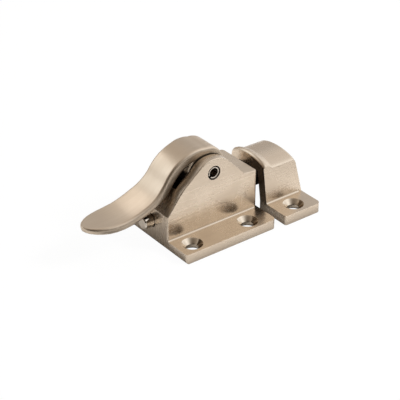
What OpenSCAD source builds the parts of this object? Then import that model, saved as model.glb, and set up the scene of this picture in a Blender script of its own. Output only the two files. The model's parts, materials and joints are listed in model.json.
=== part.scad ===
// Surface cabinet latch: a lifting lever on a spring pin draws back a sprung bolt,
// and the bolt's tongue hooks under an arched strike on the fixed frame.
// The origin is the centre of the housing's four screw holes, on the mounting face.
// +X points to the strike, +Z away from the mounting face, Y across the lever.

/* [Mounting plates] */
// Thickness of both mounting plates
plate_thick = 3.2; // [2.8:0.1:3.6]
// Length of the housing's plate, along the bolt
housing_length = 33.7; // [32.7:0.2:36.1]
// Width of the housing's plate, across the bolt
housing_width = 36; // [35:0.5:40]
// Length of the strike's plate, along the bolt
strike_length = 14.1; // [13.5:0.2:16.1]
// Width of the strike's plate, across the bolt
strike_width = 37.7; // [37.2:0.1:40]
// Gap between the two plates when the door is shut
plate_gap = 3.1; // [2.8:0.1:4]
// Corner radius at the ends of the plates that face the strike's side
plate_corner_r = 1.5; // [1:0.1:2]

/* [Screw holes] */
// Diameter of the screw holes
screw_hole_d = 3.9; // [3.5:0.1:4.2]
// Diameter of the countersinks at the surface
countersink_d = 6.6; // [6.2:0.1:7]
// Depth of the countersinks
countersink_depth = 1.5; // [1.2:0.1:1.8]
// Distance from the housing's lever end to its first pair of holes
hole_inset_lever_end = 5.2; // [4.8:0.1:6]
// Distance from the housing's bolt end to its second pair of holes
hole_inset_bolt_end = 7.7; // [6.7:0.1:8.2]
// Distance from the housing's long edges to its holes
hole_inset_side = 4.4; // [4.2:0.1:4.6]
// Distance from the strike's long edges to its holes
strike_hole_inset = 4.6; // [4.4:0.1:4.8]
// Distance from the strike's mouth to its holes
strike_hole_setback = 6.8; // [6.6:0.1:7.4]

/* [Housing block] */
// Width of the raised block
block_width = 17.3; // [17:0.1:17.8]
// Thickness of each cheek beside the lever
cheek_thick = 3.1; // [2.9:0.1:3.2]
// Depth of the end under the lever, below the pivot pin
lever_end_drop = 9.4; // [8.7:0.1:9.7]
// Rise of the crown over the pivot pin
crown_rise = 4.55; // [4.3:0.05:4.8]
// Height of the low ledge at the bolt end
ledge_h = 15.9; // [15.5:0.1:16.4]
// Rise of the ledge towards the crown
ledge_rise = 0.6; // [0.3:0.1:0.9]
// Length of the ledge
ledge_length = 4.8; // [4.3:0.1:5.2]
// Thickness of the end walls
end_wall = 2.6; // [2.3:0.1:2.9]
// Thickness of the sloping roof
roof_wall = 2.4; // [2.2:0.1:2.6]
// Radius that rounds the block's outer edges
edge_r = 0.4; // [0.3:0.05:0.6]
// Radius of the block's upright corners at the bolt end
block_end_r = 1.3; // [1:0.1:1.6]
// Radius of the fillet between block and plate
fillet_r = 0.6; // [0.3:0.1:0.9]

/* [Pivot] */
// Height of the pivot pin above the mounting face
pivot_h = 20.7; // [20.4:0.1:20.9]
// Distance from the housing's lever end to the pivot pin
pivot_inset = 17.1; // [16.8:0.1:17.4]
// Outer diameter of the slotted spring pin
pin_d = 4.6; // [4:0.1:5]
// Wall thickness of the spring pin
pin_wall = 0.8; // [0.6:0.1:1]
// Width of the slot along the spring pin
pin_slot = 0.9; // [0.6:0.1:1.2]
// Recess of each end of the pin in its cheek
pin_recess = 0.2; // [0.1:0.1:0.5]
// Running clearance of the lever on the pin, on the radius
pin_clear = 0.06; // [0.04:0.01:0.09]

/* [Lever] */
// Width of the lever's neck in the slot
neck_width = 10.1; // [9.4:0.1:10.3]
// Thickness of the neck
neck_thick = 3.5; // [3.2:0.1:3.7]
// Width of the spoon-shaped paddle
paddle_width = 12.1; // [11.4:0.1:13]
// Thickness of the paddle
paddle_thick = 2.45; // [2.2:0.1:2.8]
// Distance from the pivot to the paddle's tip
lever_reach = 40.9; // [38:0.5:44]
// Height of the hump over the pivot
hump_rise = 7; // [6.9:0.05:7.2]
// Drop from the hump to the paddle's tip
paddle_drop = 14.6; // [14.2:0.05:14.8]
// Radius that rounds the lever's long edges
lever_edge_r = 0.95; // [0.6:0.05:1]
// Radius of the round boss on the pivot
boss_r = 6.7; // [6.5:0.1:6.8]
// Space between the boss and the end of its slot
boss_clear = 0.5; // [0.4:0.1:0.6]
// Length of the inner arm that moves the bolt
arm_length = 11; // [10.6:0.1:11.2]
// Radius of the arm's nose
nose_r = 1.6; // [1.4:0.1:1.8]
// Width of the arm across the bolt
arm_width = 7; // [6:0.5:8]

/* [Bolt] */
// Width of the tongue that enters the strike
tongue_width = 9; // [8:0.1:9.2]
// Height of the tongue's underside
tongue_low = 7.7; // [7.5:0.1:7.9]
// Height of the bolt's flat top
bolt_top = 12.3; // [12:0.1:12.4]
// Height of the underside of the bolt's body in the housing
body_low = 3.4; // [3.2:0.1:3.8]
// Reach of the tongue past the housing's end
tongue_reach = 7.8; // [7.3:0.1:8.3]
// Length of the bevel under the tip
bevel_length = 3.6; // [3:0.1:4]
// Rise of the bevel under the tip
bevel_rise = 3.1; // [2.6:0.1:3.4]
// Clearance of the tongue in its window
window_clear = 0.15; // [0.1:0.05:0.25]
// Clearance between the bolt's body and the cheeks
body_clear = 0.25; // [0.2:0.05:0.35]
// Length of the body behind the lever's nose
body_tail = 5.7; // [5.4:0.1:6]
// Space between the arm's nose and each side of its notch
notch_clear = 0.4; // [0.35:0.05:0.5]
// Lean of the notch's far side, at its top, that clears the swung arm
notch_relief = 1.2; // [1:0.1:1.4]

/* [Plunger rod and spring] */
// Diameter of the plunger rod
rod_d = 4.2; // [3.8:0.1:4.4]
// Height of the rod's axis
rod_h = 6.7; // [6.6:0.1:7]
// Reach of the rod past the housing's lever end
rod_reach = 3.3; // [2.8:0.1:4]
// Length of the rod inside the bolt
rod_seat = 3.2; // [2.6:0.1:3.4]
// Clearance of the rod in its hole, on the radius
rod_clear = 0.25; // [0.2:0.05:0.3]
// Bevel round the rod's end
rod_bevel = 0.35; // [0.2:0.05:0.5]
// Diameter of the spring's wire
wire_d = 0.6; // [0.5:0.05:0.65]
// Space between the spring's wire and the rod
spring_clear = 0.25; // [0.2:0.05:0.3]

/* [Strike] */
// Height of the hood's crown behind the lip
hood_crown_h = 16.3; // [16.1:0.1:16.6]
// Height of the hood's shoulders behind the lip
hood_shoulder_h = 13.9; // [13.7:0.1:14.2]
// Width of the strike's hood at the plate
hood_width = 19.1; // [18.9:0.1:19.5]
// Lean of the hood's walls
hood_draft = 8.5; // [7.5:0.5:9]
// Thickness of the hood's walls
hood_wall = 3.2; // [3:0.1:3.3]
// Length of the flared lip at the mouth
lip_length = 3.5; // [3:0.1:4]
// Rise of the flared lip over the hood
lip_flare = 1.2; // [1:0.1:1.4]
// Fall of the hood's roof from the lip to the far end
roof_fall = 0.1; // [0.1:0.1:0.5]
// Height of the hollow's crown over the bolt
hollow_crown_h = 13.4; // [13.2:0.1:13.6]
// Height of the hollow's shoulders beside the bolt
hollow_shoulder_h = 12.9; // [12.8:0.1:13.1]

/* [Hidden] */
$fn = 64;
// One overrun serves every cut
cut = 1;
// Steps in each rounded corner of an outline and in each rounded edge
corner_steps = 6;
edge_steps = 4;

nickel = [0.76, 0.68, 0.58];
steel = [0.72, 0.71, 0.69];
dark_metal = [0.42, 0.38, 0.33];

// Places along the bolt, from the centre of the screw holes
hole_x = (housing_length - hole_inset_lever_end - hole_inset_bolt_end) / 2;
hole_y = housing_width / 2 - hole_inset_side;
lever_end_x = -hole_x - hole_inset_lever_end;
bolt_end_x = hole_x + hole_inset_bolt_end;
pivot_x = lever_end_x + pivot_inset;
strike_x = bolt_end_x + plate_gap;
strike_hole_x = strike_x + strike_hole_setback;
strike_hole_y = strike_width / 2 - strike_hole_inset;

// Heights of the block that follow the pivot pin
lever_end_h = pivot_h - lever_end_drop;
crown_h = pivot_h + crown_rise;

// The block's outline, walked round from the plate under the lever: place along X, height, corner radius
knee_x_share = 0.1665;
knee_h_share = 0.51;
crown_start_share = 0.415;
crown_end_share = 0.6085;
knee_r_share = 2;
crown_r_share = 0.8;
end_corner_r = edge_r;
// Least radius left on an inset corner, as a share of the block's edge radius
least_r_share = 0.125;
function block_outline(end_x) = [
    [lever_end_x, 0, 0],
    [end_x, 0, 0],
    [end_x, ledge_h, end_corner_r],
    [bolt_end_x - ledge_length, ledge_h + ledge_rise, end_corner_r],
    [lever_end_x + crown_end_share * housing_length, crown_h, crown_r_share * (crown_h - ledge_h)],
    [lever_end_x + crown_start_share * housing_length, crown_h, crown_r_share * (crown_h - ledge_h)],
    [lever_end_x + knee_x_share * housing_length, lever_end_h + knee_h_share * (crown_h - lever_end_h),
        knee_r_share * (crown_h - ledge_h)],
    [lever_end_x, lever_end_h, end_corner_r]
];
block_corners = block_outline(bolt_end_x);

// The slot for the lever and the cavity below it
slot_width = block_width - 2 * cheek_thick;
slot_start_x_share = 0.1566;
slot_x = lever_end_x + slot_start_x_share * housing_length;
slot_end_r = boss_r + boss_clear;
// Turn of the pin's slot below the line to the lever's end
pin_slot_turn = 35;

// The bolt's window, body and travel
window_low = tongue_low - window_clear;
window_top = bolt_top + window_clear;
body_width = slot_width - 2 * body_clear;
body_front_x = bolt_end_x - end_wall;
body_rear_x = pivot_x - body_tail;
tip_x = bolt_end_x + tongue_reach;
nose_h = pivot_h - arm_length;
notch_half = nose_r + notch_clear;
notch_floor = nose_h - nose_r - notch_clear;
notch_corner_r = nose_r / 4;
notch_lean = notch_relief * (bolt_top + cut - nose_h) / (bolt_top - nose_h);

// The rod and its spring
rod_tip_x = lever_end_x - rod_reach;
rod_end_x = body_rear_x + rod_seat;
rod_hole_d = rod_d + 2 * rod_clear;
spring_start_x = lever_end_x + end_wall;
spring_length = body_rear_x - spring_start_x;
spring_r = rod_d / 2 + spring_clear + wire_d / 2;
spring_turns = 5;
spring_dead_turns = 0.8;
spring_sides = 8;
spring_steps_per_turn = 16;
spring_seat_gap = wire_d / 12;
// Pitch of the closed turns, as a share of the wire
closed_pitch_share = 1.02;

// The lever's S-curve: share of the reach, share of the drop
lever_curve_shares = [
    [-0.06, 0.944], [0, 0.979], [0.073, 1], [0.164, 0.957], [0.259, 0.83], [0.328, 0.655], [0.382, 0.455],
    [0.455, 0.268], [0.55, 0.136], [0.672, 0.034], [0.795, 0], [0.9, 0.002], [1, 0.006]
];
swell_start_share = 0.34;
swell_end_share = 0.53;
tip_round_share = 0.735;
tip_thin_share = 0.45;
tip_width_share = 0.04;
// Largest edge radius, as a share of half the blade's thickness or width
edge_fit_share = 0.98;
// Half width of the arm at its nose, as a share of the nose's radius
arm_waist_share = 0.7;
curve_steps = 3;
// Row of the curve from which the sections crowd towards the tip
tip_row = 9;
tip_steps = 9;

// The strike's lip: share of its length, share of its rise
lip_shares = [[0, 0.3], [0.07, 0.72], [0.22, 1], [0.45, 0.88], [0.75, 0.35], [1, 0]];
// The rounding at the hood's far end: share of the radius to the end, share of the radius down
far_round_shares = [[1, 0], [0.6, 0.08], [0.25, 0.34], [0, 1]];
far_round_r = hood_wall / 4;
arch_steps = 8;
arch_flat_share = 0.35;

function clamp01(t) = max(0, min(1, t));
function smooth01(t) = let (s = clamp01(t)) s * s * (3 - 2 * s);
function unit(v) = v / norm(v);
function plane(p) = [p[0], p[1]];

// Corner i of a counter-clockwise outline moved inwards by a wall thickness, with its radius kept in step
function moved_in(corners, i, wall) = let (
        n = len(corners),
        here = plane(corners[i]),
        into = unit(here - plane(corners[(i + n - 1) % n])),
        out = unit(plane(corners[(i + 1) % n]) - here),
        side_in = [-into[1], into[0]],
        side_out = [-out[1], out[0]],
        turn = into[0] * out[1] - into[1] * out[0],
        spot = here + wall * (side_in + side_out) / (1 + side_in * side_out),
        r = corners[i][2] == 0 ? 0 : max(edge_r * least_r_share, corners[i][2] - sign(turn) * wall)
    ) [spot[0], spot[1], r];
function inset(corners, wall) = [for (i = [0 : len(corners) - 1]) moved_in(corners, i, wall)];

// Points of the arc that rounds corner i, or the corner itself where its radius is zero
function corner_points(corners, i) = let (
        n = len(corners),
        here = plane(corners[i]),
        back = unit(plane(corners[(i + n - 1) % n]) - here),
        ahead = unit(plane(corners[(i + 1) % n]) - here),
        half = acos(back * ahead) / 2,
        r = corners[i][2],
        middle = here + unit(back + ahead) * r / sin(half),
        first = here + back * r / tan(half) - middle,
        turn = (back[0] * ahead[1] - back[1] * ahead[0]) < 0 ? 1 : -1,
        sweep = turn * (180 - 2 * half)
    ) r == 0 ? [here] : [for (k = [0 : corner_steps]) let (a = sweep * k / corner_steps)
        middle + [first[0] * cos(a) - first[1] * sin(a), first[0] * sin(a) + first[1] * cos(a)]];
function rounded(corners) = [for (i = [0 : len(corners) - 1]) each corner_points(corners, i)];

// Faces of a loft through rings of points that all have the same count
function loft_faces(rings, count) = concat(
        [[for (k = [count - 1 : -1 : 0]) k]],
        [[for (k = [0 : count - 1]) (rings - 1) * count + k]],
        [for (r = [0 : rings - 2], k = [0 : count - 1], half = [0, 1]) let (
            a = r * count + k,
            b = r * count + (k + 1) % count
        ) half == 0 ? [a, b, b + count] : [a, b + count, a + count]]
    );

// A flat outline in X and Z, given its width across Y
module across(width) {
    rotate([90, 0, 0]) linear_extrude(width, center = true) children();
}

// A round bar or bore along Y
module crossbar(r, width) {
    rotate([90, 0, 0]) cylinder(r = r, h = width, center = true);
}

// A screw hole with its countersink, in the plate's top
module screw_hole() {
    translate([0, 0, -cut]) cylinder(d = screw_hole_d, h = plate_thick + 2 * cut);
    translate([0, 0, plate_thick - countersink_depth])
        cylinder(d1 = screw_hole_d, d2 = countersink_d, h = countersink_depth);
    translate([0, 0, plate_thick]) cylinder(d = countersink_d, h = cut);
}

// An outline seen from above, with square corners at one end and rounded ones at the end that points to +X
function plan(x, length, width, r) = rounded([
        [x, -width / 2, 0],
        [x + length, -width / 2, r],
        [x + length, width / 2, r],
        [x, width / 2, 0]
    ]);

module plate(x, length, width) {
    linear_extrude(plate_thick) polygon(plan(x, length, width, plate_corner_r));
}

// What an arc of radius r takes off, at a depth from the face that it starts on
function arc_loss(r, depth) = depth >= r ? 0 : r - sqrt(r * r - (r - depth) * (r - depth));

// The block, lofted across the lever so that its outer edges and its corners at the bolt end are rounded
module block() {
    depths = concat(
        [for (k = [0 : edge_steps]) edge_r * (1 - cos(90 * k / edge_steps))],
        [for (k = [1 : edge_steps]) edge_r + (block_end_r - edge_r) * k / edge_steps]
    );
    last = len(depths) - 1;
    rings = [for (side = [-1, 1], k = [0 : last]) let (
            depth = depths[side < 0 ? k : last - k],
            y = side * (block_width / 2 - depth),
            wall = arc_loss(edge_r, depth),
            end_x = bolt_end_x - max(0, arc_loss(block_end_r, depth) - wall)
        ) [for (p = rounded(inset(block_outline(end_x), wall))) [p[0], y, p[1]]]];
    polyhedron([for (ring = rings) each ring], loft_faces(len(rings), len(rings[0])), convexity = 4);
}

// The fillet along one side of the block, as far as the rounded corner
module base_fillet() {
    run = housing_length - block_end_r;
    translate([lever_end_x, block_width / 2 - edge_r, plate_thick]) difference() {
        cube([run, edge_r + fillet_r, fillet_r]);
        translate([-cut, edge_r + fillet_r, fillet_r]) rotate([0, 90, 0])
            cylinder(r = fillet_r, h = run + 2 * cut);
    }
}

// The hollow of the housing, open to the mounting face
module cavity() {
    inner = inset(block_corners, roof_wall);
    across(slot_width) polygon([
        [spring_start_x, -cut],
        [body_front_x, -cut],
        [body_front_x, inner[2][1]],
        plane(inner[3]),
        plane(inner[4]),
        plane(inner[5]),
        plane(inner[6]),
        [spring_start_x, inner[7][1]]
    ]);
}

// The slot that the lever swings in, with its far end round the boss
module lever_slot() {
    across(slot_width) polygon([
        [slot_x, pivot_h - boss_r],
        [pivot_x, pivot_h],
        [pivot_x, crown_h + cut],
        [slot_x, crown_h + cut]
    ]);
    translate([pivot_x, 0, pivot_h]) crossbar(slot_end_r, slot_width);
}

module housing() {
    color(nickel) difference() {
        union() {
            plate(lever_end_x, housing_length, housing_width);
            block();
            for (side = [0, 1]) mirror([0, side, 0]) base_fillet();
        }
        cavity();
        lever_slot();
        for (x = [-hole_x, hole_x], y = [-hole_y, hole_y]) translate([x, y, 0]) screw_hole();
        translate([pivot_x, 0, pivot_h]) crossbar(pin_d / 2, block_width + 2 * cut);
        translate([lever_end_x - cut, 0, rod_h]) rotate([0, 90, 0])
            cylinder(d = rod_hole_d, h = end_wall + 2 * cut);
        translate([body_front_x - cut, -tongue_width / 2 - window_clear, window_low])
            cube([end_wall + 2 * cut, tongue_width + 2 * window_clear, window_top - window_low]);
    }
}

// The pin is a rolled tube with a slot along it, turned down and towards the lever's end
module pivot_pin() {
    length = block_width - 2 * pin_recess;
    color(steel) translate([pivot_x, 0, pivot_h]) difference() {
        crossbar(pin_d / 2, length);
        crossbar(pin_d / 2 - pin_wall, length + 2 * cut);
        rotate([0, -pin_slot_turn, 0]) translate([-pin_d, -length / 2 - cut, -pin_slot / 2])
            cube([pin_d, length + 2 * cut, pin_slot]);
    }
}

// A point on the lever's S-curve, by a smooth curve through the shares
function curve_point(s) = let (
        rows = len(lever_curve_shares),
        i = min(rows - 2, floor(s)),
        t = s - i,
        a = lever_curve_shares[max(0, i - 1)],
        b = lever_curve_shares[i],
        c = lever_curve_shares[i + 1],
        d = lever_curve_shares[min(rows - 1, i + 2)],
        bend = 2 * a - 5 * b + 4 * c - d,
        twist = 3 * b - a - 3 * c + d,
        share = (2 * b + (c - a) * t + bend * t * t + twist * t * t * t) / 2
    ) [pivot_x - share[0] * lever_reach, pivot_h + hump_rise - (1 - share[1]) * paddle_drop, share[0]];

// Half the paddle's width and its thickness at a share of the reach
function tip_round(share) = let (u = clamp01((share - tip_round_share) / (1 - tip_round_share)))
    max(tip_width_share, sqrt(1 - u * u));
function swell(share) = smooth01((share - swell_start_share) / (swell_end_share - swell_start_share));
function blade_half(share) = (neck_width + (paddle_width - neck_width) * swell(share)) / 2 * tip_round(share);
function blade_thick(share) = (neck_thick + (paddle_thick - neck_thick) * swell(share))
    * (1 - tip_thin_share * (1 - tip_round(share)));

// One rounded section of the lever, square to its curve
function blade_ring(s) = let (
        step = 1 / (4 * curve_steps),
        last = len(lever_curve_shares) - 1,
        here = curve_point(s),
        ahead = curve_point(min(last, s + step)),
        behind = curve_point(max(0, s - step)),
        along = unit(plane(ahead) - plane(behind)),
        up = [along[1], -along[0]],
        half = blade_half(here[2]),
        thick = blade_thick(here[2]),
        r = min(lever_edge_r, min(thick / 2, half) * edge_fit_share),
        outline = rounded([[-half, 0, r], [-half, -thick, r], [half, -thick, r], [half, 0, r]])
    ) [for (p = outline) [here[0] + up[0] * p[1], p[0], here[1] + up[1] * p[1]]];

module lever_blade() {
    last = len(lever_curve_shares) - 1;
    stations = concat(
        [for (k = [0 : tip_row * curve_steps - 1]) k / curve_steps],
        [for (k = [0 : tip_steps]) tip_row + (last - tip_row) * sin(90 * k / tip_steps)]
    );
    rings = [for (s = stations) blade_ring(s)];
    polyhedron([for (ring = rings) each ring], loft_faces(len(rings), len(rings[0])), convexity = 6);
}

// The round boss on the pivot, turned with rounded rims
module boss() {
    translate([pivot_x, 0, pivot_h]) rotate([90, 0, 0]) rotate_extrude() polygon(rounded([
        [0, -neck_width / 2, 0],
        [boss_r, -neck_width / 2, lever_edge_r],
        [boss_r, neck_width / 2, lever_edge_r],
        [0, neck_width / 2, 0]
    ]));
}

module lever() {
    waist = nose_r * arm_waist_share;
    color(nickel) difference() {
        union() {
            lever_blade();
            boss();
            across(arm_width) polygon([
                [pivot_x - boss_r / 2, pivot_h],
                [pivot_x - waist, nose_h],
                [pivot_x + waist, nose_h],
                [pivot_x + boss_r / 2, pivot_h]
            ]);
            translate([pivot_x, 0, nose_h]) crossbar(nose_r, arm_width);
        }
        translate([pivot_x, 0, pivot_h]) crossbar(pin_d / 2 + pin_clear, neck_width + 2 * cut);
    }
}

module bolt() {
    color(dark_metal) difference() {
        union() {
            translate([body_rear_x, -body_width / 2, body_low])
                cube([body_front_x - body_rear_x, body_width, bolt_top - body_low]);
            across(tongue_width) polygon([
                [body_front_x - cut, tongue_low],
                [tip_x - bevel_length, tongue_low],
                [tip_x, tongue_low + bevel_rise],
                [tip_x, bolt_top],
                [body_front_x - cut, bolt_top]
            ]);
        }
        across(body_width + 2 * cut) polygon(rounded([
            [pivot_x - notch_half, notch_floor, notch_corner_r],
            [pivot_x + notch_half, notch_floor, notch_corner_r],
            [pivot_x + notch_half, nose_h, 0],
            [pivot_x + notch_half + notch_lean, bolt_top + cut, 0],
            [pivot_x - notch_half, bolt_top + cut, 0]
        ]));
        translate([body_rear_x - cut, 0, rod_h]) rotate([0, 90, 0]) cylinder(d = rod_d, h = rod_seat + cut);
    }
}

module plunger_rod() {
    color(steel) translate([rod_tip_x, 0, rod_h]) rotate([0, 90, 0]) {
        cylinder(d1 = rod_d - 2 * rod_bevel, d2 = rod_d, h = rod_bevel);
        translate([0, 0, rod_bevel]) cylinder(d = rod_d, h = rod_end_x - rod_tip_x - rod_bevel);
    }
}

// Place of the wire's middle along the spring, with closed turns at both ends
function spring_place(turn) = let (
        dead = wire_d * closed_pitch_share,
        open_turns = spring_turns - 2 * spring_dead_turns,
        free = spring_length - 2 * spring_seat_gap - wire_d - 2 * spring_dead_turns * dead,
        past = turn - spring_turns + spring_dead_turns,
        rise = turn < spring_dead_turns ? turn * dead
            : past > 0 ? spring_dead_turns * dead + free + past * dead
            : spring_dead_turns * dead + free * (turn - spring_dead_turns) / open_turns
    ) spring_start_x + spring_seat_gap + wire_d / 2 + rise;

module return_spring() {
    steps = ceil(spring_turns * spring_steps_per_turn);
    rings = [for (k = [0 : steps]) let (turn = spring_turns * k / steps, a = 360 * turn)
        [for (j = [0 : spring_sides - 1]) let (b = 360 * j / spring_sides, r = spring_r + wire_d / 2 * cos(b))
            [spring_place(turn) + wire_d / 2 * sin(b), r * cos(a), rod_h + r * sin(a)]]];
    color(steel)
        polyhedron([for (ring = rings) each ring], loft_faces(len(rings), spring_sides), convexity = 12);
}

// One section of the hood across the bolt: straight in the plate, leaning above it, then arched
function hood_ring(x, half_foot, shoulder, crown, foot, lean) = let (
        half_top = half_foot - (shoulder - plate_thick) * tan(hood_draft),
        rise = crown - shoulder,
        arch = [for (k = [-arch_steps : arch_steps]) let (a = 90 * k / arch_steps)
            [half_top * sin(a), shoulder + rise * cos(a) * (1 - arch_flat_share * (1 - cos(a)))]],
        outline = concat([[-half_foot, foot], [-half_foot, plate_thick]], arch,
            [[half_foot, plate_thick], [half_foot, foot]])
    ) [for (p = outline) [x - lean * tan(hood_draft) * max(0, p[1] - plate_thick), p[0], p[1]]];

// The hood's outside, lofted along the bolt from the flared lip to the leaning far end
module hood_shell() {
    far = strike_x + strike_length;
    far_shoulder = hood_shoulder_h - roof_fall;
    far_crown = hood_crown_h - roof_fall;
    rings = concat(
        [for (p = lip_shares) hood_ring(strike_x + p[0] * lip_length, hood_width / 2,
            hood_shoulder_h + p[1] * lip_flare, hood_crown_h + p[1] * lip_flare, 0, 0)],
        [for (p = far_round_shares) hood_ring(far - p[0] * far_round_r, hood_width / 2,
            far_shoulder - p[1] * far_round_r, far_crown - p[1] * far_round_r, 0, 1)]
    );
    polyhedron([for (ring = rings) each ring], loft_faces(len(rings), len(rings[0])), convexity = 4);
}

// The hollow that the bolt enters, open to the mouth and to the mounting face
module hood_hollow() {
    half = hood_width / 2 - hood_wall;
    far = strike_x + strike_length - hood_wall;
    rings = [
        hood_ring(strike_x - cut, half, hollow_shoulder_h, hollow_crown_h, -cut, 0),
        hood_ring(far, half, hollow_shoulder_h, hollow_crown_h, -cut, 1)
    ];
    polyhedron([for (ring = rings) each ring], loft_faces(len(rings), len(rings[0])), convexity = 4);
}

module strike() {
    color(nickel) difference() {
        union() {
            plate(strike_x, strike_length, strike_width);
            hood_shell();
        }
        hood_hollow();
        for (y = [-strike_hole_y, strike_hole_y]) translate([strike_hole_x, y, 0]) screw_hole();
    }
}

housing();
lever();
pivot_pin();
bolt();
plunger_rod();
return_spring();
strike();
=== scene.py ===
# Surface cabinet latch in satin nickel: camera, light, materials and finished pieces
import bpy, json, math
from mathutils import Matrix, Vector


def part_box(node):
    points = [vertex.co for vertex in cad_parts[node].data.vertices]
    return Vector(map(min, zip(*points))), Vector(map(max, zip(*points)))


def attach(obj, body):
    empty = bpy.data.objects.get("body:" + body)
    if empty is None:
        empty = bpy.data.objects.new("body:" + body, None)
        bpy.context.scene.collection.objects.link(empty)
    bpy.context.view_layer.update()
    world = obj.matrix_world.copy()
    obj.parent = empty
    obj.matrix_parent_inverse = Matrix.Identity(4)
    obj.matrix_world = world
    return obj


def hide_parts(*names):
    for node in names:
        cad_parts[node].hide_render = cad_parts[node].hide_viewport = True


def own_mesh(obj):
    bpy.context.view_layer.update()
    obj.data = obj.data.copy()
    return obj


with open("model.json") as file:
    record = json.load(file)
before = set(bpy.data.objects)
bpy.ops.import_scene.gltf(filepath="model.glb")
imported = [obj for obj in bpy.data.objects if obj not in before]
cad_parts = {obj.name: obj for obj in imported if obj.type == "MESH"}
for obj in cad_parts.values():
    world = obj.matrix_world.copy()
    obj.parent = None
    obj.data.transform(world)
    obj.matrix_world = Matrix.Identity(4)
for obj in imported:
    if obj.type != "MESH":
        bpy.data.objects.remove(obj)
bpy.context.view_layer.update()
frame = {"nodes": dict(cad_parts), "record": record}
mm = 0.001

# Camera, fitted to the photograph

cameraSet = {
    "place": (-197.9, -268.05, 205.92),
    "azimuth": -36.81,
    "elevation": 30.73,
    "roll": -0.29,
    "lens": 115.0,
    "sensorWidth": 36,
    "clipNear": 0.01,
    "clipFar": 20,
}


def addCamera():
    turn = (Matrix.Rotation(math.radians(cameraSet["azimuth"]), 3, "Z")
            @ Matrix.Rotation(math.radians(90 - cameraSet["elevation"]), 3, "X")
            @ Matrix.Rotation(math.radians(cameraSet["roll"]), 3, "Z"))
    bpy.ops.object.camera_add(location=[n * mm for n in cameraSet["place"]], rotation=turn.to_euler())
    camera = bpy.context.object
    camera.name = "studioCamera"
    camera.data.lens = cameraSet["lens"]
    camera.data.sensor_width = cameraSet["sensorWidth"]
    camera.data.clip_start = cameraSet["clipNear"]
    camera.data.clip_end = cameraSet["clipFar"]
    bpy.context.scene.camera = camera


addCamera()
bpy.context.scene.view_settings.view_transform = "Standard"
print("camera placed")

# Floor, world and lamps

studio = {
    "floorSize": 4.0,
    # Gap in millimetres between the floor and the plates
    "floorGap": 0.05,
    "floorColour": (0.8, 0.79, 0.78),
    # Share of plain white in the floor, as the camera and as the metal see it; the rest is lit
    "cameraWhite": 0.96,
    "mirrorWhite": 0.04,
    # The metal sees the floor with painted shade at the plates' foot and far away: reach in millimetres,
    # light left
    "footReach": 5.0,
    "footLight": 0.5,
    "farReach": 32.0,
    "farLight": 0.68,
    "skyColour": (0.46, 0.4, 0.34),
    # Soft bright and dark patches of the room: direction, colour, tightness
    "patches": [
        {"towards": (-0.55, 0.68, 0.48), "colour": (1.16, 1.28, 1.38), "tightness": 21},
        {"towards": (0.5, 0.42, 0.76), "colour": (0.31, 0.32, 0.34), "tightness": 4},
        {"towards": (0.55, -0.55, 0.6), "colour": (0.88, 0.96, 1.04), "tightness": 7},
        {"towards": (-0.515, -0.688, 0.511), "colour": (-0.3, -0.265, -0.23), "tightness": 5},
        {"towards": (-0.9, -0.4, 0.15), "colour": (-0.3, -0.26, -0.22), "tightness": 6},
        {"towards": (0.95, 0.2, 0.2), "colour": (0.7, 0.76, 0.82), "tightness": 8},
        {"towards": (0.5, 0.72, 0.48), "colour": (-0.2, -0.17, -0.14), "tightness": 25},
    ],
    # Lamps light the floor and cast the shadows; the metal sees the patches instead
    "lamps": {
        "keySoftbox": {"place": (0.6, -0.6, 0.75), "aim": (0, 0, 0.01), "size": (0.35, 0.35),
                       "watts": 14.0, "spread": 180},
        "fillSoftbox": {"place": (0.1, 0.1, 1.2), "aim": (0, 0, 0.01), "size": (0.7, 0.7),
                        "watts": 2.0, "spread": 180},
    },
    # A painted shadow spot on the floor, which the block's left corner mirrors: middle, inner and outer
    # radius, light left
    "paintedShadowSpot": {"middle": (-0.032, -0.019, 0), "inner": 5.0, "outer": 14.0, "light": 0.3},
    # A small card close to the paddle, which the metal mirrors
    "card": {"place": (-0.0215, 0.034, 0.048), "aim": (-0.02, 0, 0.016), "size": (0.017, 0.009),
             "watts": 0.000068, "spread": 50},
}


def newMaterial(name):
    material = bpy.data.materials.new(name)
    material.use_nodes = True
    material.node_tree.nodes.clear()
    return material, material.node_tree.nodes, material.node_tree.links


def mathNode(nodes, links, operation, first, second=None, clamp=False):
    node = nodes.new("ShaderNodeMath")
    node.operation = operation
    node.use_clamp = clamp
    for slot, value in enumerate((first, second)):
        if value is None:
            continue
        if isinstance(value, (int, float)):
            node.inputs[slot].default_value = value
        else:
            links.new(value, node.inputs[slot])
    return node.outputs[0]


def ramp(nodes, links, value, fromLow, fromHigh, toLow=0.0, toHigh=1.0):
    node = nodes.new("ShaderNodeMapRange")
    node.clamp = True
    links.new(value, node.inputs["Value"])
    ends = {"From Min": fromLow, "From Max": fromHigh, "To Min": toLow, "To Max": toHigh}
    for socket, number in ends.items():
        if isinstance(number, (int, float)):
            node.inputs[socket].default_value = number
        else:
            links.new(number, node.inputs[socket])
    return node.outputs["Result"]


# Distance outside the nearest of the given boxes, seen from above
def footDistance(nodes, links, place, boxes):
    split = nodes.new("ShaderNodeSeparateXYZ")
    links.new(place, split.inputs[0])
    nearest = None
    for low, high in boxes:
        outside = None
        for axis in range(2):
            off = mathNode(nodes, links, "SUBTRACT", split.outputs[axis], (low[axis] + high[axis]) / 2)
            off = mathNode(nodes, links, "ABSOLUTE", off)
            off = mathNode(nodes, links, "SUBTRACT", off, (high[axis] - low[axis]) / 2)
            outside = off if outside is None else mathNode(nodes, links, "MAXIMUM", outside, off)
        nearest = outside if nearest is None else mathNode(nodes, links, "MINIMUM", nearest, outside)
    return nearest


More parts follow.
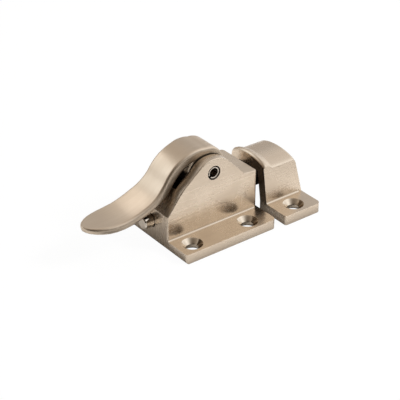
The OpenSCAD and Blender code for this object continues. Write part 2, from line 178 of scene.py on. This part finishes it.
def addFloor():
    bpy.ops.mesh.primitive_plane_add(size=studio["floorSize"], location=(0, 0, -studio["floorGap"] * mm))
    floor = bpy.context.object
    floor.name = "studioFloor"
    material, nodes, links = newMaterial("whiteFloor")
    out = nodes.new("ShaderNodeOutputMaterial")
    matte = nodes.new("ShaderNodeBsdfDiffuse")
    place = nodes.new("ShaderNodeTexCoord").outputs["Object"]
    distance = footDistance(nodes, links, place, [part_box("housing"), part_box("strike")])
    footReach, farReach = studio["footReach"] * mm, studio["farReach"] * mm
    # Painted shade on the floor for all rays but the camera's: darker at the plates' foot, far away and in a
    # spot
    share = ramp(nodes, links, distance, 0.0, footReach, studio["footLight"], 1.0)
    far = ramp(nodes, links, distance, footReach, farReach, 1.0, studio["farLight"])
    share = mathNode(nodes, links, "MULTIPLY", share, far)
    # Painted shadow spot
    spot = studio["paintedShadowSpot"]
    away = nodes.new("ShaderNodeVectorMath")
    away.operation = "DISTANCE"
    away.inputs[1].default_value = spot["middle"]
    links.new(place, away.inputs[0])
    dim = ramp(nodes, links, away.outputs["Value"], spot["inner"] * mm, spot["outer"] * mm,
               spot["light"], 1.0)
    share = mathNode(nodes, links, "MULTIPLY", share, dim)
    path = nodes.new("ShaderNodeLightPath")
    share = mathNode(nodes, links, "MAXIMUM", share, path.outputs["Is Camera Ray"])
    colour = nodes.new("ShaderNodeVectorMath")
    colour.operation = "SCALE"
    colour.inputs[0].default_value = studio["floorColour"]
    links.new(share, colour.inputs["Scale"])
    links.new(colour.outputs[0], matte.inputs["Color"])
    glow = nodes.new("ShaderNodeEmission")
    glow.inputs["Color"].default_value = (1, 1, 1, 1)
    mirrored = mathNode(nodes, links, "MAXIMUM", path.outputs["Is Glossy Ray"],
                        path.outputs["Is Transmission Ray"])
    seen = mathNode(nodes, links, "MULTIPLY", path.outputs["Is Camera Ray"], studio["cameraWhite"])
    white = mathNode(nodes, links, "MULTIPLY", mirrored, studio["mirrorWhite"])
    mix = nodes.new("ShaderNodeMixShader")
    links.new(mathNode(nodes, links, "MAXIMUM", seen, white), mix.inputs[0])
    links.new(matte.outputs[0], mix.inputs[1])
    links.new(glow.outputs[0], mix.inputs[2])
    links.new(mix.outputs[0], out.inputs[0])
    floor.data.materials.append(material)


# The room is a warm grey sky with soft bright and dark patches, which the metal mirrors
def addWorld():
    world = bpy.data.worlds.new("studioWorld")
    bpy.context.scene.world = world
    world.use_nodes = True
    nodes, links = world.node_tree.nodes, world.node_tree.links
    nodes.clear()
    out = nodes.new("ShaderNodeOutputWorld")
    room = nodes.new("ShaderNodeBackground")
    place = nodes.new("ShaderNodeTexCoord")
    total = nodes.new("ShaderNodeCombineXYZ")
    for slot, value in enumerate(studio["skyColour"]):
        total.inputs[slot].default_value = value
    total = total.outputs[0]
    for patch in studio["patches"]:
        facing = nodes.new("ShaderNodeVectorMath")
        facing.operation = "DOT_PRODUCT"
        facing.inputs[1].default_value = Vector(patch["towards"]).normalized()
        links.new(place.outputs["Generated"], facing.inputs[0])
        near = mathNode(nodes, links, "MAXIMUM", facing.outputs["Value"], 0.0)
        near = mathNode(nodes, links, "POWER", near, patch["tightness"])
        light = nodes.new("ShaderNodeVectorMath")
        light.operation = "SCALE"
        light.inputs[0].default_value = patch["colour"]
        links.new(near, light.inputs["Scale"])
        add = nodes.new("ShaderNodeVectorMath")
        links.new(total, add.inputs[0])
        links.new(light.outputs[0], add.inputs[1])
        total = add.outputs[0]
    links.new(total, room.inputs["Color"])
    links.new(room.outputs[0], out.inputs[0])


def addLamp(name, lamp, mirrored):
    aim = Vector(lamp["aim"]) - Vector(lamp["place"])
    turn = aim.to_track_quat("-Z", "Y").to_euler()
    bpy.ops.object.light_add(type="AREA", location=lamp["place"], rotation=turn)
    light = bpy.context.object
    light.name = name
    light.data.shape = "RECTANGLE"
    light.data.size, light.data.size_y = lamp["size"]
    light.data.energy = lamp["watts"]
    light.data.spread = math.radians(lamp["spread"])
    light.visible_camera = False
    light.visible_glossy = mirrored


addFloor()
addWorld()
for name, lamp in studio["lamps"].items():
    addLamp(name, lamp, False)
addLamp("paddleCard", studio["card"], True)
print("floor, world and lamps added")

# Shared effects

# Every effect reads a place and one more value
def newGroup(name, value, outputs):
    group = bpy.data.node_groups.new(name, "ShaderNodeTree")
    group.interface.new_socket(name="Place", in_out="INPUT", socket_type="NodeSocketVector")
    group.interface.new_socket(name=value, in_out="INPUT", socket_type="NodeSocketFloat")
    for output in outputs:
        group.interface.new_socket(name=output, in_out="OUTPUT", socket_type="NodeSocketFloat")
    nodes, links = group.nodes, group.links
    return group, nodes, links, nodes.new("NodeGroupInput"), nodes.new("NodeGroupOutput")


def noise(nodes, links, place, scale, detail, rough):
    node = nodes.new("ShaderNodeTexNoise")
    links.new(place, node.inputs["Vector"])
    node.inputs["Detail"].default_value = detail
    node.inputs["Roughness"].default_value = rough
    if isinstance(scale, (int, float)):
        node.inputs["Scale"].default_value = scale
    else:
        links.new(scale, node.inputs["Scale"])
    return node.outputs["Fac"]


# Each noise has its detail and roughness, and each range its ends
lineSet = {"fine": (3, 0.6), "coarse": (2, 0.5), "coarseScale": 0.31, "fineShare": 0.65, "coarseShare": 0.35,
           "range": (0.28, 0.72)}


# Fine lines of a brushed face; the material's Mapping nodes stretch them along the brush
def brushedLines():
    group, nodes, links, into, out = newGroup("brushedLines", "Fineness", ["Lines"])
    place, fineness = into.outputs["Place"], into.outputs["Fineness"]
    fine = noise(nodes, links, place, fineness, *lineSet["fine"])
    coarse = noise(nodes, links, place, mathNode(nodes, links, "MULTIPLY", fineness, lineSet["coarseScale"]),
                   *lineSet["coarse"])
    both = mathNode(nodes, links, "ADD", mathNode(nodes, links, "MULTIPLY", fine, lineSet["fineShare"]),
                    mathNode(nodes, links, "MULTIPLY", coarse, lineSet["coarseShare"]))
    links.new(ramp(nodes, links, both, *lineSet["range"]), out.inputs["Lines"])
    return group


cloudSet = {"cloud": (3, 0.5), "cloudRange": (0.3, 0.7), "specks": (2, 0.5), "speckScale": 18.0,
            "speckRange": (0.62, 0.78)}


# Slow changes of a plated surface that hands have touched
def handledCloud():
    group, nodes, links, into, out = newGroup("handledCloud", "Size", ["Cloud", "Specks"])
    place, size = into.outputs["Place"], into.outputs["Size"]
    cloud = noise(nodes, links, place, size, *cloudSet["cloud"])
    specks = noise(nodes, links, place, mathNode(nodes, links, "MULTIPLY", size, cloudSet["speckScale"]),
                   *cloudSet["specks"])
    links.new(ramp(nodes, links, cloud, *cloudSet["cloudRange"]), out.inputs["Cloud"])
    links.new(ramp(nodes, links, specks, *cloudSet["speckRange"]), out.inputs["Specks"])
    return group


rimSet = {"samples": 4, "turned": (0.98, 0.9), "breaks": (900.0, 2, 0.5), "breakRange": (0.3, 0.55),
          "breakLight": (0.75, 1.0)}


# Rims where the plating is rubbed bright
def rubbedEdges():
    group, nodes, links, into, out = newGroup("rubbedEdges", "Width", ["Rim"])
    soft = nodes.new("ShaderNodeBevel")
    soft.samples = rimSet["samples"]
    links.new(into.outputs["Width"], soft.inputs["Radius"])
    flat = nodes.new("ShaderNodeNewGeometry")
    match = nodes.new("ShaderNodeVectorMath")
    match.operation = "DOT_PRODUCT"
    links.new(soft.outputs["Normal"], match.inputs[0])
    links.new(flat.outputs["Normal"], match.inputs[1])
    rim = ramp(nodes, links, match.outputs["Value"], *rimSet["turned"])
    broken = ramp(nodes, links, noise(nodes, links, into.outputs["Place"], *rimSet["breaks"]),
                  *rimSet["breakRange"], *rimSet["breakLight"])
    links.new(mathNode(nodes, links, "MULTIPLY", rim, broken), out.inputs["Rim"])
    return group


grainSet = {"grain": (3, 0.6), "pitScale": 0.4, "pitRadius": 0.3}


# Pits and grains of a cast face
def castGrain():
    group, nodes, links, into, out = newGroup("castGrain", "Fineness", ["Grain", "Pits"])
    place, fineness = into.outputs["Place"], into.outputs["Fineness"]
    cells = nodes.new("ShaderNodeTexVoronoi")
    links.new(place, cells.inputs["Vector"])
    links.new(mathNode(nodes, links, "MULTIPLY", fineness, grainSet["pitScale"]), cells.inputs["Scale"])
    links.new(noise(nodes, links, place, fineness, *grainSet["grain"]), out.inputs["Grain"])
    pits = ramp(nodes, links, cells.outputs["Distance"], 0.0, grainSet["pitRadius"], 1.0, 0.0)
    links.new(pits, out.inputs["Pits"])
    return group


effects = {group.name: group for group in (brushedLines(), handledCloud(), rubbedEdges(), castGrain())}
print("shared effects built")

# Finishes

finishes = {
    "brushedNickel": {"colour": (0.7, 0.597, 0.485), "shade": (0.6, 0.505, 0.4), "rim": (0.74, 0.65, 0.55),
                      "roughness": 0.28, "streak": 0.11, "lineHeight": 0.0015 * mm, "brush": (4, 300)},
    # The lever's sides and underside get painted shade; the last two numbers are the light left there
    "leverNickel": {"colour": (0.7, 0.595, 0.48), "shade": (0.61, 0.505, 0.39), "rim": (0.76, 0.68, 0.58),
                    "roughness": 0.33, "streak": 0.1, "lineHeight": 0.002 * mm, "brush": (15, 240),
                    "paintedSideShade": 0.66, "paintedUnderShade": 0.25},
    "polishedNickel": {"colour": (0.74, 0.65, 0.54), "shade": (0.6, 0.5, 0.39), "rim": (0.82, 0.75, 0.66),
                       "roughness": 0.15, "streak": 0.06, "lineHeight": 0.001 * mm, "brush": (150, 300)},
    # Rough cast skin of the hollows; its dark colour is painted shade
    "castInsideWithPaintedShade": {"colour": (0.24, 0.2, 0.165), "shade": (0.2, 0.165, 0.13), "rim": (0.32, 0.27, 0.22),
                   "roughness": 0.55, "streak": 0.06, "lineHeight": 0.005 * mm, "brush": (200, 200)},
    "darkBolt": {"colour": (0.12, 0.1, 0.085), "shade": (0.06, 0.05, 0.045), "rim": (0.3, 0.26, 0.22),
                 "roughness": 0.5, "streak": 0.12, "lineHeight": 0.01 * mm, "brush": (200, 200)},
    "pinSteel": {"colour": (0.6, 0.53, 0.45), "shade": (0.4, 0.34, 0.28), "rim": (0.8, 0.75, 0.68),
                 "roughness": 0.25, "streak": 0.1, "lineHeight": 0.002 * mm, "brush": (300, 300)},
    "rodSteel": {"colour": (0.76, 0.69, 0.6), "shade": (0.62, 0.55, 0.46), "rim": (0.78, 0.72, 0.66),
                 "roughness": 0.14, "streak": 0.06, "lineHeight": 0.002 * mm, "brush": (60, 400)},
    "springSteel": {"colour": (0.5, 0.49, 0.47), "shade": (0.32, 0.31, 0.3), "rim": (0.7, 0.7, 0.7),
                    "roughness": 0.3, "streak": 0.1, "lineHeight": 0.001 * mm, "brush": (60, 400)},
}


def placeGroup(nodes, links, name, place, **values):
    node = nodes.new("ShaderNodeGroup")
    node.node_tree = effects[name]
    links.new(place, node.inputs["Place"])
    for socket, value in values.items():
        node.inputs[socket].default_value = value
    return node.outputs


# Colour sockets of a Mix node: inputs 6 and 7, output 2
def blendColour(nodes, links, share, first, second):
    node = nodes.new("ShaderNodeMix")
    node.data_type = "RGBA"
    links.new(share, node.inputs[0])
    for slot, colour in ((6, first), (7, second)):
        if isinstance(colour, tuple):
            node.inputs[slot].default_value = (*colour, 1)
        else:
            links.new(colour, node.inputs[slot])
    return node.outputs[2]


# How far a face must turn to the side or down, between none and all of the change
turnSet = {"brush": (0.65, 0.75), "paintedShadeSide": (0.7, 0.95), "paintedShadeBelow": (-0.5, -0.9)}


# Stretches the pattern along the piece: fast across the width on top, fast with the height on the sides
def alongBrush(nodes, links, place, brush):
    along, across = brush
    scaled = []
    for stretch in ((along, across, along), (along, along, across)):
        node = nodes.new("ShaderNodeMapping")
        node.inputs["Scale"].default_value = stretch
        links.new(place, node.inputs["Vector"])
        scaled.append(node.outputs[0])
    split = nodes.new("ShaderNodeSeparateXYZ")
    links.new(nodes.new("ShaderNodeTexCoord").outputs["Normal"], split.inputs[0])
    side = ramp(nodes, links, mathNode(nodes, links, "ABSOLUTE", split.outputs["Y"]), *turnSet["brush"])
    # Vector sockets of a Mix node: inputs 4 and 5, output 1
    mix = nodes.new("ShaderNodeMix")
    mix.data_type = "VECTOR"
    links.new(side, mix.inputs[0])
    links.new(scaled[0], mix.inputs[4])
    links.new(scaled[1], mix.inputs[5])
    return mix.outputs[1]


# Painted shade: faces turned to the side or down are painted darker than the top
def paintSideAndUnderShade(nodes, links, body, light, paintedUnderShade):
    split = nodes.new("ShaderNodeSeparateXYZ")
    links.new(nodes.new("ShaderNodeTexCoord").outputs["Normal"], split.inputs[0])
    facing = mathNode(nodes, links, "ABSOLUTE", split.outputs["Y"])
    below = ramp(nodes, links, split.outputs["Z"], *turnSet["paintedShadeBelow"], 1.0, paintedUnderShade)
    scaled = nodes.new("ShaderNodeVectorMath")
    scaled.operation = "SCALE"
    links.new(body, scaled.inputs[0])
    side = ramp(nodes, links, facing, *turnSet["paintedShadeSide"], 1.0, light)
    links.new(mathNode(nodes, links, "MINIMUM", side, below), scaled.inputs["Scale"])
    return scaled.outputs[0]


metalSet = {
    "lineFineness": 6.0,
    "cloudSize": 140.0,
    "rimWidth": 0.25,
    "grainFineness": 2600.0,
    # Shares of the lines and of the cloud in the tone
    "lineShare": 0.55,
    "cloudShare": 0.45,
    # Height of a pit beside that of the grain, and the tone left in it
    "pitHeight": -0.6,
    "pitTone": 0.6,
    # Rims are smoother than the rest and specks are rougher
    "rimRoughness": 0.08,
    "speckRoughness": 0.05,
}


def metal(name, cast=False):
    finish = finishes[name]
    material, nodes, links = newMaterial(name)
    out = nodes.new("ShaderNodeOutputMaterial")
    shader = nodes.new("ShaderNodeBsdfPrincipled")
    place = nodes.new("ShaderNodeTexCoord").outputs["Object"]
    stretched = alongBrush(nodes, links, place, finish["brush"])
    lines = placeGroup(nodes, links, "brushedLines", stretched, Fineness=metalSet["lineFineness"])
    cloud = placeGroup(nodes, links, "handledCloud", place, Size=metalSet["cloudSize"])
    rims = placeGroup(nodes, links, "rubbedEdges", place, Width=metalSet["rimWidth"] * mm)
    streaks = mathNode(nodes, links, "MULTIPLY", lines["Lines"], metalSet["lineShare"])
    clouds = mathNode(nodes, links, "MULTIPLY", cloud["Cloud"], metalSet["cloudShare"])
    tone = mathNode(nodes, links, "ADD", streaks, clouds, True)
    height = lines["Lines"]
    if cast:
        grain = placeGroup(nodes, links, "castGrain", place, Fineness=metalSet["grainFineness"])
        depth = mathNode(nodes, links, "MULTIPLY", grain["Pits"], metalSet["pitHeight"])
        height = mathNode(nodes, links, "ADD", grain["Grain"], depth)
        pitTone = ramp(nodes, links, grain["Pits"], 0.0, 1.0, 1.0, metalSet["pitTone"])
        tone = mathNode(nodes, links, "MULTIPLY", tone, pitTone)
    body = blendColour(nodes, links, tone, finish["shade"], finish["colour"])
    body = blendColour(nodes, links, rims["Rim"], body, finish["rim"])
    # Painted shade on the sides and underside
    if "paintedSideShade" in finish:
        body = paintSideAndUnderShade(nodes, links, body, finish["paintedSideShade"], finish["paintedUnderShade"])
    links.new(body, shader.inputs["Base Color"])
    rough = ramp(nodes, links, tone, 0.0, 1.0, finish["roughness"] + finish["streak"] / 2,
                 finish["roughness"] - finish["streak"] / 2)
    rubbed = mathNode(nodes, links, "MULTIPLY", rims["Rim"], metalSet["rimRoughness"])
    specks = mathNode(nodes, links, "MULTIPLY", cloud["Specks"], metalSet["speckRoughness"])
    rough = mathNode(nodes, links, "SUBTRACT", rough, rubbed)
    rough = mathNode(nodes, links, "ADD", rough, specks, True)
    links.new(rough, shader.inputs["Roughness"])
    shader.inputs["Metallic"].default_value = 1
    bump = nodes.new("ShaderNodeBump")
    bump.inputs["Distance"].default_value = finish["lineHeight"]
    links.new(height, bump.inputs["Height"])
    links.new(bump.outputs[0], shader.inputs["Normal"])
    links.new(shader.outputs[0], out.inputs[0])
    return material


materials = {name: metal(name, cast=name in ("darkBolt", "castInsideWithPaintedShade")) for name in finishes}
print("finishes built")

# Finished pieces

# How near a vertex or face must lie to the place looked for, in millimetres
within = {"merge": 0.001, "plane": 0.02, "corner": 0.05, "pinEnd": 0.06, "bore": 0.15, "level": 0.5,
          "farEnd": 2}
# Parts of a face normal that tell walls, flats and ends apart
tilt = {"wall": 0.5, "flat": 0.99, "outward": 0.6, "upright": 0.2, "holeWall": 0.98, "bore": 0.3}


def selectOnly(piece):
    bpy.ops.object.select_all(action="DESELECT")
    piece.select_set(True)
    bpy.context.view_layer.objects.active = piece


# A loose copy of a CAD node, merged, with flat faces made whole
def copyOfNode(node, name, flatness=0.4):
    selectOnly(frame["nodes"][node])
    bpy.ops.object.duplicate()
    piece = bpy.context.object
    piece.name = name
    piece.data.name = name
    piece.parent = None
    for key in list(piece.keys()):
        del piece[key]
    piece.data.materials.clear()
    if piece.data.has_custom_normals:
        bpy.ops.mesh.customdata_custom_splitnormals_clear()
    bpy.ops.object.mode_set(mode="EDIT")
    bpy.ops.mesh.select_all(action="SELECT")
    bpy.ops.mesh.mark_sharp(clear=True)
    bpy.ops.mesh.remove_doubles(threshold=within["merge"] * mm)
    bpy.ops.mesh.dissolve_limited(angle_limit=math.radians(flatness))
    bpy.ops.mesh.select_all(action="DESELECT")
    bpy.ops.object.mode_set(mode="OBJECT")
    return piece


# The clamp narrows a bevel to what the shortest edges of the piece allow
def bevelEdges(piece, width, angle, segments=2):
    selectOnly(piece)
    bpy.ops.object.modifier_add(type="BEVEL")
    bevel = piece.modifiers[-1]
    bevel.width = width * mm
    bevel.segments = segments
    bevel.limit_method = "ANGLE"
    bevel.angle_limit = math.radians(angle)
    bevel.use_clamp_overlap = True
    bpy.ops.object.modifier_apply(modifier=bevel.name)


def smooth(piece, angle=38):
    selectOnly(piece)
    bpy.ops.object.shade_smooth_by_angle(angle=math.radians(angle))
    bpy.ops.object.modifier_add(type="WEIGHTED_NORMAL")
    weighted = piece.modifiers[-1]
    weighted.keep_sharp = True
    bpy.ops.object.modifier_apply(modifier=weighted.name)


def finish(piece, node, body, slot, *names):
    for name in names:
        piece.data.materials.append(materials[name])
    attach(piece, body)
    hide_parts(node)


# Rounds the upright corners of a plate
def roundCorners(piece, places, width):
    selectOnly(piece)
    for edge in piece.data.edges:
        ends = [piece.data.vertices[v].co for v in edge.vertices]
        edge.select = any(all(math.hypot(end.x - x, end.y - y) < within["corner"] * mm for end in ends)
                          for x, y in places)
    bpy.ops.object.mode_set(mode="EDIT")
    bpy.ops.mesh.bevel(offset=width * mm, segments=4, affect="EDGES", clamp_overlap=False)
    bpy.ops.mesh.select_all(action="DESELECT")
    bpy.ops.object.mode_set(mode="OBJECT")


# Fillets the foot of the walls along a plate, as far as the place given
def filletFoot(piece, height, width, end):
    slack = within["plane"] * mm
    selectOnly(piece)
    bpy.ops.object.mode_set(mode="EDIT")
    bpy.ops.mesh.select_all(action="SELECT")
    bpy.ops.mesh.bisect(plane_co=(end, 0, 0), plane_no=(1, 0, 0))
    bpy.ops.mesh.select_all(action="DESELECT")
    bpy.ops.object.mode_set(mode="OBJECT")
    sides = {}
    for face in piece.data.polygons:
        for key in face.edge_keys:
            sides.setdefault(key, []).append(face)
    for edge in piece.data.edges:
        ends = [piece.data.vertices[v].co for v in edge.vertices]
        tilts = sorted(abs(face.normal.z) for face in sides[edge.key])
        edge.select = (all(abs(corner.z - height) < slack and corner.x < end + slack for corner in ends)
                       and tilts[0] < tilt["wall"] and tilts[-1] > tilt["flat"]
                       and all(face.center.z > height - slack for face in sides[edge.key])
                       and abs(ends[0].y - ends[1].y) < within["level"] * mm)
    bpy.ops.object.mode_set(mode="EDIT")
    bpy.ops.mesh.bevel(offset=width, segments=3, affect="EDGES", clamp_overlap=False)
    bpy.ops.mesh.select_all(action="DESELECT")
    bpy.ops.object.mode_set(mode="OBJECT")


# The hood's far end becomes one flat face that reaches the plate's end
def flattenEnd(piece, height, half, end, depth):
    slack = within["plane"] * mm
    selectOnly(piece)
    for face in piece.data.polygons:
        middle, normal = face.center, face.normal
        leaning = (normal.x > tilt["outward"] and abs(normal.z) < tilt["upright"]
                   and middle.z > height + slack and middle.x > end - within["farEnd"] * mm)
        corners = [piece.data.vertices[v].co for v in face.vertices]
        ledge = all(abs(corner.z - height) < slack and corner.x > end - depth and abs(corner.y) < half
                    for corner in corners)
        face.select = leaning or ledge
    bpy.ops.object.mode_set(mode="EDIT")
    bpy.ops.mesh.delete(type="FACE")
    bpy.ops.mesh.select_all(action="SELECT")
    bpy.ops.mesh.fill_holes(sides=0)
    bpy.ops.mesh.select_all(action="SELECT")
    bpy.ops.mesh.normals_make_consistent(inside=False)
    bpy.ops.mesh.select_all(action="DESELECT")
    bpy.ops.object.mode_set(mode="OBJECT")


# The back edge of each screw hole is eased, so that the wall stays clear of a burr
def easeHoleBacks(piece, centres, radius, width):
    slack = within["corner"] * mm
    selectOnly(piece)
    for edge in piece.data.edges:
        ends = [piece.data.vertices[v].co for v in edge.vertices]
        edge.select = any(all(abs(math.hypot(end.x - x, end.y - y) - radius) < slack and end.z < slack
                              for end in ends) for x, y in centres)
    bpy.ops.object.mode_set(mode="EDIT")
    bpy.ops.mesh.bevel(offset=width * mm, segments=1, affect="EDGES", clamp_overlap=False)
    bpy.ops.mesh.select_all(action="DESELECT")
    bpy.ops.object.mode_set(mode="OBJECT")


# Faces inside the screw holes, found by their place, take the polished finish
def polishHoles(piece, centres, radius, top):
    for face in piece.data.polygons:
        middle = face.center
        around = any(math.hypot(middle.x - x, middle.y - y) < radius for x, y in centres)
        if around and middle.z < top - within["plane"] * mm and abs(face.normal.z) < tilt["holeWall"]:
            face.material_index = 1


# Faces of a hollow that no brush reaches keep the rough skin of the casting, with painted shade in its dark
# colour
def paintShadeInside(piece, halfWidth, low, high, centre=None):
    for face in piece.data.polygons:
        corners = [piece.data.vertices[v].co for v in face.vertices]
        inward = centre is None or face.normal.dot(centre - face.center) > 0
        if inward and all(abs(c.y) < halfWidth and low < c.x < high for c in corners):
            face.material_index = 2


# The bore that a cross pin sits in gets the same painted shade as well
def paintShadeInBore(piece, pin):
    low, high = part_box(pin)
    x, z, radius = (low.x + high.x) / 2, (low.z + high.z) / 2, (high.z - low.z) / 2
    for face in piece.data.polygons:
        distance = math.hypot(face.center.x - x, face.center.z - z)
        if distance < radius + within["bore"] * mm and abs(face.normal.y) < tilt["bore"]:
            face.material_index = 2


mounts = {mount["name"]: mount for mount in frame["record"]["mounts"]}

housingPiece = {"rim": 0.3, "cornerRound": 0.7, "rimAngle": 40, "holeRadius": 3.4, "holeEase": 0.7,
                "plateTop": 3.2, "slotHalf": 5.75, "slotInset": 0.1}


def addHousing():
    piece = copyOfNode("housing", "housingCasting")
    mount = mounts["housing_screws"]["dims"]
    halfX, halfY = mount["spacing_x_mm"] / 2 * mm, mount["spacing_y_mm"] / 2 * mm
    centres = [(x, y) for x in (-halfX, halfX) for y in (-halfY, halfY)]
    low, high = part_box("housing")
    corners = [(x, y) for x in (low.x, high.x) for y in (low.y, high.y)]
    roundCorners(piece, corners, housingPiece["cornerRound"])
    easeHoleBacks(piece, centres, mount["hole_r_mm"] * mm, housingPiece["holeEase"])
    bevelEdges(piece, housingPiece["rim"], housingPiece["rimAngle"])
    smooth(piece)
    finish(piece, "housing", "base", "satin_nickel", "brushedNickel", "polishedNickel", "castInsideWithPaintedShade")
    polishHoles(piece, centres, housingPiece["holeRadius"] * mm, housingPiece["plateTop"] * mm)
    inset = housingPiece["slotInset"] * mm
    # Painted shade: the slot, cavity and pin bore take the dark cast skin
    paintShadeInside(piece, housingPiece["slotHalf"] * mm, low.x + inset, high.x - inset)
    paintShadeInBore(piece, "pivot_pin")


addHousing()
print("housing finished")

leverPiece = {"flatness": 0.1, "rim": 0.15, "rimAngle": 50, "smoothAngle": 45}


def addLever():
    piece = copyOfNode("lever", "liftLever", leverPiece["flatness"])
    bevelEdges(piece, leverPiece["rim"], leverPiece["rimAngle"])
    smooth(piece, leverPiece["smoothAngle"])
    finish(piece, "lever", "handle", "satin_nickel", "leverNickel")


addLever()
print("lever finished")

strikePiece = {"rim": 0.3, "cornerRound": 0.7, "foot": 0.6, "footEnd": 1.3, "hoodHalf": 9.6, "ledge": 0.5,
               "rimAngle": 40, "holeRadius": 3.4, "holeEase": 0.7, "plateTop": 3.2, "hollowHalf": 6.6,
               "mouthOver": 0.1, "endWall": 1}


def addStrike():
    piece = copyOfNode("strike", "archedStrike")
    mount = mounts["strike_screws"]
    halfY = mount["dims"]["spacing_y_mm"] / 2 * mm
    centres = [(mount["pos_m"][0], y) for y in (-halfY, halfY)]
    low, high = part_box("strike")
    top = strikePiece["plateTop"] * mm
    flattenEnd(piece, top, strikePiece["hoodHalf"] * mm, high.x, strikePiece["ledge"] * mm)
    corners = [(x, y) for x in (low.x, high.x) for y in (low.y, high.y)]
    roundCorners(piece, corners, strikePiece["cornerRound"])
    filletFoot(piece, top, strikePiece["foot"] * mm, high.x - strikePiece["footEnd"] * mm)
    easeHoleBacks(piece, centres, mount["dims"]["hole_r_mm"] * mm, strikePiece["holeEase"])
    bevelEdges(piece, strikePiece["rim"], strikePiece["rimAngle"])
    smooth(piece)
    finish(piece, "strike", "base", "satin_nickel", "brushedNickel", "polishedNickel", "castInsideWithPaintedShade")
    polishHoles(piece, centres, strikePiece["holeRadius"] * mm, top)
    middle = Vector(((low.x + high.x) / 2, 0, high.z / 2))
    # Painted shade: the hood's hollow takes the dark cast skin
    paintShadeInside(piece, strikePiece["hollowHalf"] * mm, low.x - strikePiece["mouthOver"] * mm,
               high.x - strikePiece["endWall"] * mm, middle)


addStrike()
print("strike finished")

boltPiece = {"rim": 0.3, "rimAngle": 30}


def addBolt():
    piece = copyOfNode("bolt", "springBolt")
    bevelEdges(piece, boltPiece["rim"], boltPiece["rimAngle"])
    smooth(piece)
    finish(piece, "bolt", "latch_bolt", "dark_metal", "darkBolt")


addBolt()
print("bolt finished")

pinPiece = {"endBevel": 0.45, "rim": 0.08, "rimAngle": 40}


def addPin():
    piece = copyOfNode("pivot_pin", "slottedPin")
    low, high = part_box("pivot_pin")
    x, z, radius = (low.x + high.x) / 2, (low.z + high.z) / 2, (high.z - low.z) / 2
    selectOnly(piece)
    for edge in piece.data.edges:
        ends = [piece.data.vertices[v].co for v in edge.vertices]
        edge.select = all(abs(math.hypot(end.x - x, end.z - z) - radius) < within["pinEnd"] * mm
                          and abs(abs(end.y) - high.y) < within["plane"] * mm for end in ends)
    bpy.ops.object.mode_set(mode="EDIT")
    bpy.ops.mesh.bevel(offset=pinPiece["endBevel"] * mm, segments=1, affect="EDGES", clamp_overlap=False)
    bpy.ops.mesh.select_all(action="DESELECT")
    bpy.ops.object.mode_set(mode="OBJECT")
    bevelEdges(piece, pinPiece["rim"], pinPiece["rimAngle"])
    smooth(piece)
    finish(piece, "pivot_pin", "base", "steel", "pinSteel")


addPin()
print("pin finished")

rodPiece = {"rim": 0.12, "rimAngle": 30}


def addRod():
    piece = copyOfNode("plunger_rod", "plungerRod")
    bevelEdges(piece, rodPiece["rim"], rodPiece["rimAngle"])
    smooth(piece)
    finish(piece, "plunger_rod", "latch_bolt", "steel", "rodSteel")


addRod()
print("rod finished")

springPiece = {"flatness": 0.01, "levels": 1, "smoothAngle": 60, "keep": 0.433}


def addSpring():
    piece = copyOfNode("return_spring", "returnSpring", springPiece["flatness"])
    bpy.ops.object.modifier_add(type="SUBSURF")
    rounder = piece.modifiers[-1]
    rounder.levels = springPiece["levels"]
    rounder.render_levels = springPiece["levels"]
    bpy.ops.object.modifier_apply(modifier=rounder.name)
    smooth(piece, springPiece["smoothAngle"])
    finish(piece, "return_spring", "base", "spring_steel", "springSteel")
    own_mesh(piece)


addSpring()
print("spring finished")
